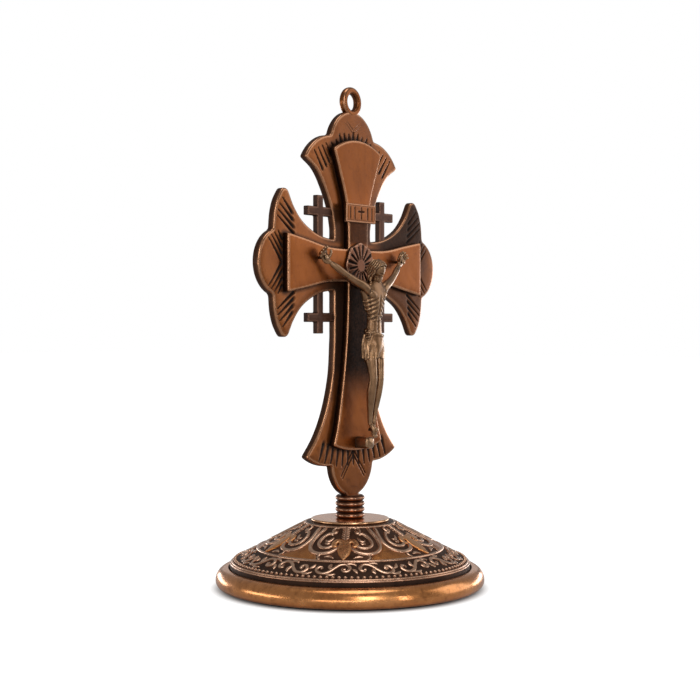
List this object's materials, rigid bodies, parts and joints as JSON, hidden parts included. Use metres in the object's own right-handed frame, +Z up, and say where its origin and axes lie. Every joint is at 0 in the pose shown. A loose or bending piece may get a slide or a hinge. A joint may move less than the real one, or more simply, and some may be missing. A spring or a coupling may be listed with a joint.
{
  "type": "altar cross",
  "caption": "Standing crucifix: winged and lobed plate cross with a raised front cross, cast figure, rayed nimbus and hanging loop on a round ornamented foot.",
  "frame": {"origin": "centre of the underside of the base, on the surface it stands on", "axes": "+Z up, -Y towards the front (the side the figure faces), +X to the viewer's right of someone facing the front"},
  "size_m": [0.0906, 0.084, 0.1561],
  "materials": {
    "bright_copper": "polished, lacquered antique copper",
    "relief_copper": "antique copper, dark in the recesses and rubbed bright on the relief",
    "plate_copper": "satin antique copper with dark engraved lines",
    "front_copper": "satin antique copper with rubbed edges",
    "dark_copper": "dark oxidised copper",
    "figure_bronze": "antique bronze with dark recesses",
    "screw_steel": "zinc-plated steel",
    "pad_rubber": "thin matt rubber sheet"
  },
  "bodies": {
    "root": {"base_pad": "pad_rubber", "base_rim": "bright_copper", "base_dome": "relief_copper", "cap_disc": "bright_copper", "neck_collar": "dark_copper", "fixing_washer": "screw_steel", "fixing_screw": "screw_steel", "cross_body": "plate_copper", "front_cross": "front_copper", "overlay_rivets": "dark_copper", "corner_cross_upper_left": "dark_copper", "corner_cross_upper_right": "dark_copper", "corner_cross_lower_left": "dark_copper", "corner_cross_lower_right": "dark_copper", "hanging_loop": "dark_copper", "title_plaque": "plate_copper", "nimbus": "plate_copper", "foot_rest": "figure_bronze", "corpus": "figure_bronze", "hand_nails": "figure_bronze", "foot_nail": "figure_bronze"}
  },
  "joints": []
}
